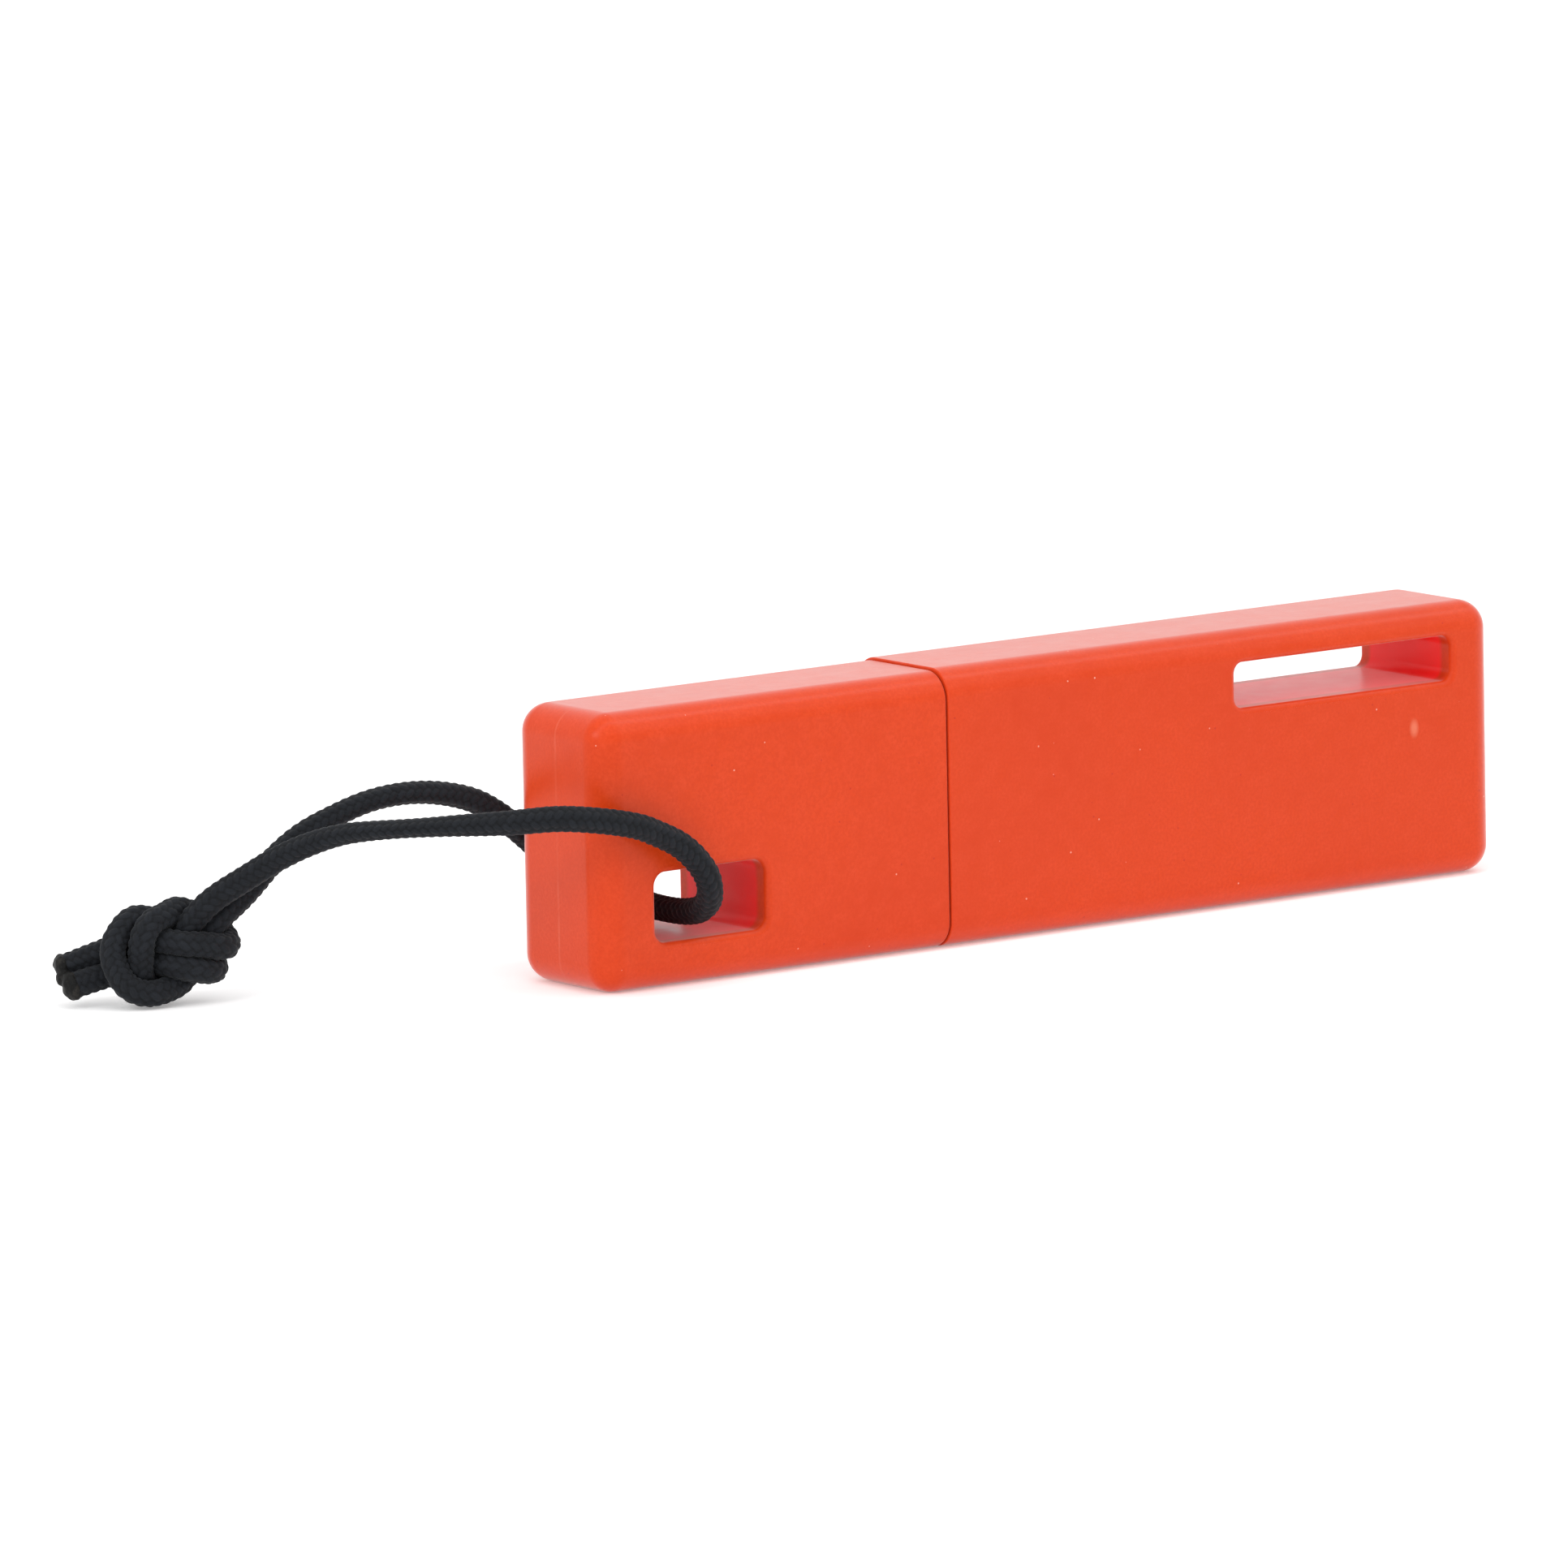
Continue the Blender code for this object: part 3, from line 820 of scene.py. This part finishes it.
def cord_line():
    """The whole cord's centreline from one cut tip to the other."""
    sizes = bpy.context.scene.whistle_cord
    points_per_diameter = 5
    spacing = sizes.diameter / points_per_diameter
    front = knot_points(FRONT_STRAND)[::-1]
    rear = knot_points(REAR_STRAND)
    middle = CORD_ROUTE[1:-1]
    line = smooth_line(front + middle + rear, spacing)
    from_start = np.linalg.norm(line - np.array(middle[1]), axis=1)
    from_end = np.linalg.norm(line - np.array(middle[-2]), axis=1)
    free = np.ones(len(line), bool)
    free[int(from_start.argmin()) : int(from_end.argmin()) + 1] = False
    settled = settle(line, free, sizes.squeeze * sizes.diameter, sizes.diameter / 2, spacing)
    return smooth_line(settled, sizes.ring_spacing)


def carried_axes(line):
    """Two directions square to the line at each point, carried along it without twist."""
    ways = np.gradient(line, axis=0)
    ways /= np.linalg.norm(ways, axis=1)[:, None]
    side = np.cross(ways[0], (0, 0, 1))
    sides = []
    for way in ways:
        side = side - way * side.dot(way)
        side = side / np.linalg.norm(side)
        sides.append(side)
    sides = np.array(sides)
    return ways, sides, np.cross(ways, sides)


def stitch_height(rising, falling):
    """Height of a two-over-two braid, from 0 in the gaps to 1 on the crown of each stitch."""
    rising_cell, falling_cell = np.floor(rising), np.floor(falling)
    turn = np.mod(rising_cell + falling_cell, 4)
    on_top = turn < 2
    across = np.where(on_top, rising - rising_cell, falling - falling_cell) - 0.5
    part = np.where(on_top, falling - falling_cell + turn, rising - rising_cell + turn - 2) - 1
    crown = np.sqrt(np.clip(1 - (2 * across) ** 2, 0, 1))
    rise = np.cos(np.clip(part, -1, 1) * math.pi / 2)
    return crown * (DIVE_HEIGHT + (1 - DIVE_HEIGHT) * rise)


def narrowing(line):
    """How much of its height the soft cord loses at each point."""
    lost = np.zeros(len(line))
    for place, reach, share in NARROW_PLACES:
        far = np.linalg.norm(line - np.array(place), axis=1) / reach
        lost += share * np.exp(-(far**2))
    return lost


def braided_tube(name, line):
    sizes = bpy.context.scene.whistle_cord
    ways, first, second = carried_axes(line)
    rings, sides = len(line), sizes.sides
    turn = np.arange(sides) / sides
    run = np.concatenate([[0], np.cumsum(np.linalg.norm(np.diff(line, axis=0), axis=1))])
    column = turn[None, :] * sizes.columns
    along = run[:, None] / sizes.pitch
    height = stitch_height(column + along, column - along)
    radius = sizes.diameter / 2 - sizes.relief * (MEAN_HEIGHT - height)
    angle = (2 * math.pi * turn)[None, :, None]
    outward = first[:, None, :] * np.cos(angle) + second[:, None, :] * np.sin(angle)
    offset = outward * radius[:, :, None]
    lost = narrowing(line)[:, None, None]
    level = np.cross(ways, (0, 0, 1))
    level /= np.linalg.norm(level, axis=1)[:, None]
    upright = np.cross(level, ways)[:, None, :]
    level = level[:, None, :]
    rise = (offset * upright).sum(axis=2)[:, :, None]
    width = (offset * level).sum(axis=2)[:, :, None]
    offset = offset - lost * rise * upright + WIDENING * lost * width * level
    points = (line[:, None, :] + offset).reshape(-1, 3)
    ends = np.array([line[0], line[-1]])
    mesh = bpy.data.meshes.new(name)
    ring, step = np.meshgrid(np.arange(rings - 1), np.arange(sides), indexing="ij")
    after = (step + 1) % sides
    here, beyond = ring * sides, (ring + 1) * sides
    quads = np.stack([here + step, here + after, beyond + after, beyond + step], axis=-1).reshape(-1, 4)
    last = (rings - 1) * sides
    caps = [(len(points), (k + 1) % sides, k) for k in range(sides)]
    caps += [(len(points) + 1, last + k, last + (k + 1) % sides) for k in range(sides)]
    mesh.from_pydata(np.vstack([points, ends]).tolist(), [], quads.tolist() + caps)
    chart = mesh.uv_layers.new(name="braid")
    ring, step = ring.reshape(-1), step.reshape(-1)
    across = np.stack([step, step + 1, step + 1, step], axis=-1) * sizes.columns / sides
    down = np.stack([run[ring], run[ring], run[ring + 1], run[ring + 1]], axis=-1) / sizes.pitch
    corners = np.zeros((len(mesh.loops), 2))
    corners[: 4 * len(quads), 0] = across.reshape(-1)
    corners[: 4 * len(quads), 1] = down.reshape(-1)
    chart.data.foreach_set("uv", corners.reshape(-1))
    relief = mesh.attributes.new("relief", "FLOAT", "POINT")
    heights = np.concatenate([height.reshape(-1), [0, 0]])
    relief.data.foreach_set("value", heights.astype(np.float32))
    mesh.shade_smooth()
    cord = bpy.data.objects.new(name, mesh)
    bpy.context.scene.collection.objects.link(cord)
    return cord


def melted_tips(name, line):
    """Two melted beads on the cut ends, fused where they touch."""
    sizes = bpy.context.scene.whistle_cord
    ends = [
        (Vector(line[0]), Vector(line[0] - line[6])),
        (Vector(line[-1]), Vector(line[-1] - line[-7])),
    ]
    beads = []
    for tip, way in ends:
        deselect_all()
        bpy.ops.mesh.primitive_uv_sphere_add(
            segments=40,
            ring_count=24,
            radius=sizes.tip_radius,
            location=tip - way.normalized() * TIP_SINK,
            rotation=way.to_track_quat("Z", "Y").to_euler(),
            scale=(1, 1, TIP_FLATNESS),
        )
        beads.append(named(name))
    deselect_all()
    middle = (ends[0][0] + ends[1][0]) / 2
    joint_radius = sizes.tip_radius * TIP_FLATNESS
    bpy.ops.mesh.primitive_uv_sphere_add(
        segments=32, ring_count=16, radius=joint_radius, location=middle
    )
    beads.append(named(name))
    activate(beads[0])
    for bead in beads[1:]:
        bead.select_set(True)
    bpy.ops.object.join()
    tips = bpy.context.active_object
    apply_modifier(tips, "REMESH", mode="VOXEL", voxel_size=TIP_GRID)
    lumps = bpy.data.textures.new("lumps", "CLOUDS")
    lumps.noise_scale = LUMP_SIZE
    lumps.noise_depth = 2
    apply_modifier(
        tips, "DISPLACE", texture=lumps, strength=LUMP_HEIGHT, mid_level=0.5, texture_coords="LOCAL"
    )
    apply_modifier(tips, "SMOOTH", factor=0.5, iterations=3)
    tips.data.shade_smooth()
    return tips


# ---------------------------------------------------------------- shells and core


def outline_distance(x, z, low, high, radius):
    """Distance of a point from a rounded rectangle seen from the front."""
    half = ((high[0] - low[0]) / 2 - radius, (high[1] - low[1]) / 2 - radius)
    across = abs(x - (low[0] + high[0]) / 2) - half[0]
    up = abs(z - (low[1] + high[1]) / 2) - half[1]
    outside = math.hypot(max(across, 0), max(up, 0))
    return outside + min(max(across, up), 0) - radius


def add_parting_line(obj, low, high, radius):
    """A faint raised line round the middle plane, where the two halves of the mould met."""
    sizes = bpy.context.scene.whistle_shell
    activate(obj)
    bpy.ops.object.mode_set(mode="EDIT")
    for place in (-sizes.parting_width, 0, sizes.parting_width):
        bpy.ops.mesh.select_all(action="SELECT")
        bpy.ops.mesh.bisect(plane_co=(0, place, 0), plane_no=(0, 1, 0))
    bpy.ops.mesh.select_mode(type="VERT")
    bpy.ops.mesh.select_all(action="DESELECT")
    shape = bmesh.from_edit_mesh(obj.data)
    for vertex in shape.verts:
        off = abs(outline_distance(vertex.co.x, vertex.co.z, low, high, radius))
        vertex.select_set(off < OUTLINE_SLACK and abs(vertex.co.y) < SAME)
    bmesh.update_edit_mesh(obj.data)
    bpy.ops.transform.shrink_fatten(value=sizes.parting_height)
    bpy.ops.object.mode_set(mode="OBJECT")


def make_cap(name):
    """The cap: rounded outside, a cavity from the split and a window for the cord."""
    sizes = bpy.context.scene.whistle_shell
    core = bpy.context.scene.whistle_core
    rim = CAP_HIGH.x + sizes.rim_reach
    cap = add_block(name, CAP_LOW, (rim, CAP_HIGH.y, CAP_HIGH.z))
    bevel_edges(cap, edge_off_plane(0, rim), sizes.edge_radius, sizes.edge_segments)
    window_low = (CAP_LOW.x + sizes.window_margin, CAP_LOW.y, sizes.window_floor)
    window_top = window_low[2] + sizes.window_height
    window_high = (window_low[0] + sizes.window_length, CAP_HIGH.y, window_top)
    cavity_low = (window_high[0] + sizes.wall, CORE_LOW.y - sizes.gap, CORE_LOW.z - sizes.gap)
    cavity_high = (rim + PAST, CORE_HIGH.y + sizes.gap, CORE_HIGH.z + sizes.gap)
    corner = core.corner + sizes.gap
    subtract(cap, round_bar("cap_cavity", cavity_low, cavity_high, corner, CORE_STEPS))
    corner = sizes.window_corner
    subtract(cap, flared_hole("cord_window", window_low, window_high, corner, sizes.mouth_round))
    bevel_edges(cap, sharp_in_plane(0, rim), sizes.rim_round, RIM_STEPS)
    outline_high = (rim + OPEN_END, CAP_HIGH.z)
    add_parting_line(cap, (CAP_LOW.x, CAP_LOW.z), outline_high, sizes.edge_radius)
    tidy_surface(cap)
    return cap


def stepped_core(name, extra):
    """The core's outline, which steps down under the strap slot, with extra room round it."""
    sizes = bpy.context.scene.whistle_shell
    core = bpy.context.scene.whistle_core
    low = Vector((CORE_LOW.x, CORE_LOW.y - extra, CORE_LOW.z - extra))
    high = Vector((CORE_HIGH.x + extra, CORE_HIGH.y + extra, CORE_HIGH.z + extra))
    if extra:
        low.x = BODY_LOW.x - PAST
    outline = round_bar(name, low, high, core.corner + extra, CORE_STEPS)
    step_x = BODY_HIGH.x - sizes.slot_end_margin - sizes.slot_length - sizes.wall - sizes.gap
    step_z = (CORE_LOW.z + CORE_HIGH.z) / 2 + core.divider / 2
    notch_low = (step_x + extra, low.y - PAST, step_z + extra)
    notch_high = (high.x + PAST, high.y + PAST, high.z + PAST)
    subtract(outline, add_block("notch", notch_low, notch_high))
    return outline


def make_body(name):
    """The body shell: rounded outside, hollow for the core, with a slot for a strap."""
    sizes = bpy.context.scene.whistle_shell
    rim = BODY_LOW.x - sizes.rim_reach
    body = add_block(name, (rim, BODY_LOW.y, BODY_LOW.z), BODY_HIGH)
    bevel_edges(body, edge_off_plane(0, rim), sizes.edge_radius, sizes.edge_segments)
    subtract(body, stepped_core("body_cavity", sizes.gap))
    slot_top = BODY_HIGH.z - sizes.slot_top_margin
    slot_high = (BODY_HIGH.x - sizes.slot_end_margin, BODY_HIGH.y, slot_top)
    slot_low = (slot_high[0] - sizes.slot_length, BODY_LOW.y, slot_top - sizes.slot_height)
    corner = sizes.slot_corner
    subtract(body, flared_hole("strap_slot", slot_low, slot_high, corner, sizes.mouth_round))
    bevel_edges(body, sharp_in_plane(0, rim), sizes.rim_round, RIM_STEPS)
    outline_low = (rim - OPEN_END, BODY_LOW.z)
    add_parting_line(body, outline_low, (BODY_HIGH.x, BODY_HIGH.z), sizes.edge_radius)
    tidy_surface(body)
    return body


def make_core(name):
    """The sound core: two chambers, their voicing windows and the groove for the ring."""
    sizes = bpy.context.scene.whistle_core
    gap = bpy.context.scene.whistle_shell.gap
    mouth_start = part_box("windway_block_upper")[1].x
    middle = (CORE_LOW.z + CORE_HIGH.z) / 2
    chambers = {
        1: (middle + sizes.divider / 2, CORE_HIGH.z - sizes.wall),
        -1: (CORE_LOW.z + sizes.wall, middle - sizes.divider / 2),
    }
    half = CORE_HIGH.y - sizes.wall
    core = stepped_core(name, 0)
    for side, (bottom, top) in chambers.items():
        low = (CORE_LOW.x - PAST, -half, bottom)
        subtract(core, add_block("chamber", low, (CORE_HIGH.x + PAST, half, top)))
        inner = top - gap if side > 0 else bottom + gap
        outer = CORE_HIGH.z + PAST if side > 0 else CORE_LOW.z - PAST
        window_half = half - sizes.voice_side
        mouth_end = mouth_start + sizes.voice_length
        mouth_low = (mouth_start, -window_half, min(inner, outer))
        mouth_high = (mouth_end, window_half, max(inner, outer))
        mouth = add_block("voicing", mouth_low, mouth_high)
        for vertex in mouth.data.vertices:
            outside = (vertex.co.z - (inner + outer) / 2) * side > 0
            if outside and vertex.co.x > mouth_end - SAME:
                vertex.co.x += sizes.voice_ramp
        subtract(core, mouth)
    groove_low = Vector((RING_LOW.x - gap, CORE_LOW.y - PAST, CORE_LOW.z - PAST))
    groove_high = Vector((RING_HIGH.x + gap, CORE_HIGH.y + PAST, CORE_HIGH.z + PAST))
    groove = add_block("groove", groove_low, groove_high)
    shrink = Vector((-PAST, sizes.ring_depth, sizes.ring_depth))
    kept_low = Vector((groove_low.x, CORE_LOW.y, CORE_LOW.z)) + shrink
    kept_high = Vector((groove_high.x, CORE_HIGH.y, CORE_HIGH.z)) - shrink
    subtract(groove, round_bar("groove_floor", kept_low, kept_high, sizes.corner / 2, BAND_STEPS))
    subtract(core, groove)
    soften_edges(core)
    return core


def soften_edges(obj):
    """Takes the sharpness off every moulded edge."""
    sizes = bpy.context.scene.whistle_core
    apply_modifier(
        obj, "BEVEL", width=sizes.edge_round, segments=3, limit_method="ANGLE", angle_limit=SHARP
    )
    tidy_surface(obj)


def make_insert(node):
    """A plain insert, such as a windway block or a chamber plug, with softened edges."""
    low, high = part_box(node)
    insert = add_block(node + "_moulded", low, high)
    soften_edges(insert)
    return insert


def make_ring(name):
    """The friction ring: a rounded band with a softly crowned outer face."""
    sizes = bpy.context.scene.whistle_core
    gap = bpy.context.scene.whistle_shell.gap
    ring = round_bar(name, RING_LOW, RING_HIGH, sizes.corner, CORE_STEPS)
    inner = sizes.ring_depth - gap
    hole_low = (RING_LOW.x - PAST, RING_LOW.y + inner, RING_LOW.z + inner)
    hole_high = (RING_HIGH.x + PAST, RING_HIGH.y - inner, RING_HIGH.z - inner)
    subtract(ring, round_bar("ring_hole", hole_low, hole_high, sizes.corner / 2, BAND_STEPS))
    for place in (RING_LOW.x, RING_HIGH.x):
        bevel_edges(ring, sharp_in_plane(0, place), inner * RING_CROWN, BAND_STEPS)
    tidy_surface(ring, 60)
    return ring


# ---------------------------------------------------------------- light


def add_strip_light(name, place, size, power):
    """A long soft light, out of the camera's sight, that looks at the whistle."""
    data = bpy.data.lights.new(name, "AREA")
    data.shape = "RECTANGLE"
    data.size, data.size_y = size
    data.energy = power
    light = bpy.data.objects.new(name, data)
    light.location = place
    light.rotation_euler = Vector(place).to_track_quat("Z", "Y").to_euler()
    light.visible_camera = False
    bpy.context.scene.collection.objects.link(light)


# ---------------------------------------------------------------- operators


class WHISTLE_OT_camera(bpy.types.Operator):
    """Place the camera, a long lens low in front of the cap's end"""

    bl_idname = "whistle.camera"
    bl_label = "Camera"
    bl_options = {"REGISTER", "UNDO"}

    def execute(self, context):
        data = bpy.data.cameras.new("camera")
        data.lens = context.scene.whistle_stage.lens
        data.sensor_width = 36
        data.clip_end = 50
        camera = bpy.data.objects.new("camera", data)
        turned = Matrix(view_axes(*CAMERA_VIEW)).transposed().to_4x4()
        camera.matrix_world = Matrix.Translation(CAMERA_PLACE) @ turned
        context.scene.collection.objects.link(camera)
        context.scene.camera = camera
        return {"FINISHED"}


class WHISTLE_OT_cord(bpy.types.Operator):
    """Lay the braided cord through the window and tie its two ends in one knot"""

    bl_idname = "whistle.cord"
    bl_label = "Braided Cord"
    bl_options = {"REGISTER", "UNDO"}

    def execute(self, context):
        line = cord_line()
        cord = braided_tube("lanyard_cord_braided", line)
        tips = melted_tips("cord_tips_melted", line)
        finish_piece(cord, braided_yarn(), "cap", "braided_cord", "lanyard_cord", "lanyard_knot")
        finish_piece(tips, melted_yarn(), "cap", "braided_cord", "cord_tail_upper", "cord_tail_lower")
        return {"FINISHED"}


class WHISTLE_OT_shells(bpy.types.Operator):
    """Mould the cap and the body shell"""

    bl_idname = "whistle.shells"
    bl_label = "Shells"
    bl_options = {"REGISTER", "UNDO"}

    def execute(self, context):
        orange = soft_orange_plastic()
        finish_piece(make_cap("cap_moulded"), orange, "cap", "orange_shell", "cap_shell")
        finish_piece(make_body("body_moulded"), orange, "whistle", "orange_shell", "body_shell")
        return {"FINISHED"}


class WHISTLE_OT_core(bpy.types.Operator):
    """Mould the sound core with its windway blocks and chamber plugs"""

    bl_idname = "whistle.core"
    bl_label = "Sound Core"
    bl_options = {"REGISTER", "UNDO"}

    def execute(self, context):
        dark = core_plastic()
        finish_piece(make_core("core_moulded"), dark, "whistle", "core_plastic", "whistle_core")
        for node in INSERTS:
            finish_piece(make_insert(node), dark, "whistle", "core_plastic", node)
        return {"FINISHED"}


class WHISTLE_OT_ring(bpy.types.Operator):
    """Mould the rubber ring that holds the cap on"""

    bl_idname = "whistle.ring"
    bl_label = "Friction Ring"
    bl_options = {"REGISTER", "UNDO"}

    def execute(self, context):
        ring = make_ring("ring_moulded")
        finish_piece(ring, seal_rubber(), "whistle", "seal_rubber", "neck_seal_ring")
        return {"FINISHED"}


class WHISTLE_OT_stage(bpy.types.Operator):
    """Set the plain white floor and the soft studio light"""

    bl_idname = "whistle.stage"
    bl_label = "Stage"
    bl_options = {"REGISTER", "UNDO"}

    def execute(self, context):
        sizes = context.scene.whistle_stage
        deselect_all()
        bpy.ops.mesh.primitive_plane_add(size=sizes.floor_size)
        floor = named("floor")
        floor.data.materials.append(plain_white())
        world = bpy.data.worlds.new("white_room")
        world.use_nodes = True
        sky = world.node_tree.nodes["Background"]
        sky.inputs["Color"].default_value = (1, 1, 1, 1)
        sky.inputs["Strength"].default_value = sizes.sky
        context.scene.world = world
        for strip in STRIP_LIGHTS:
            add_strip_light(*strip)
        context.scene.view_settings.view_transform = "Standard"
        return {"FINISHED"}


class WHISTLE_PT_panel(bpy.types.Panel):
    """Builds the whistle and holds its sizes"""

    bl_idname = "WHISTLE_PT_panel"
    bl_label = "Training Whistle"
    bl_space_type = "VIEW_3D"
    bl_region_type = "UI"
    bl_category = "Whistle"

    def draw(self, context):
        layout = self.layout
        for operator in OPERATORS:
            layout.operator(operator.bl_idname)
        for name, _ in GROUPS:
            group = getattr(context.scene, name)
            box = layout.box()
            for key in group.__annotations__:
                box.prop(group, key)


OPERATORS = (
    WHISTLE_OT_camera,
    WHISTLE_OT_cord,
    WHISTLE_OT_shells,
    WHISTLE_OT_core,
    WHISTLE_OT_ring,
    WHISTLE_OT_stage,
)
GROUPS = (
    ("whistle_shell", WhistleShellSizes),
    ("whistle_core", WhistleCoreSizes),
    ("whistle_cord", WhistleCordSizes),
    ("whistle_finishes", WhistleFinishes),
    ("whistle_stage", WhistleStageSizes),
)


def register():
    for name, group in GROUPS:
        bpy.utils.register_class(group)
        setattr(bpy.types.Scene, name, PointerProperty(type=group))
    for operator in OPERATORS:
        bpy.utils.register_class(operator)
    bpy.utils.register_class(WHISTLE_PT_panel)


def unregister():
    bpy.utils.unregister_class(WHISTLE_PT_panel)
    for operator in reversed(OPERATORS):
        bpy.utils.unregister_class(operator)
    for name, group in reversed(GROUPS):
        delattr(bpy.types.Scene, name)
        bpy.utils.unregister_class(group)


def main():
    register()
    bpy.ops.whistle.camera()
    bpy.ops.whistle.cord()
    bpy.ops.whistle.shells()
    bpy.ops.whistle.core()
    bpy.ops.whistle.ring()
    bpy.ops.whistle.stage()


if __name__ == "__main__":
    main()
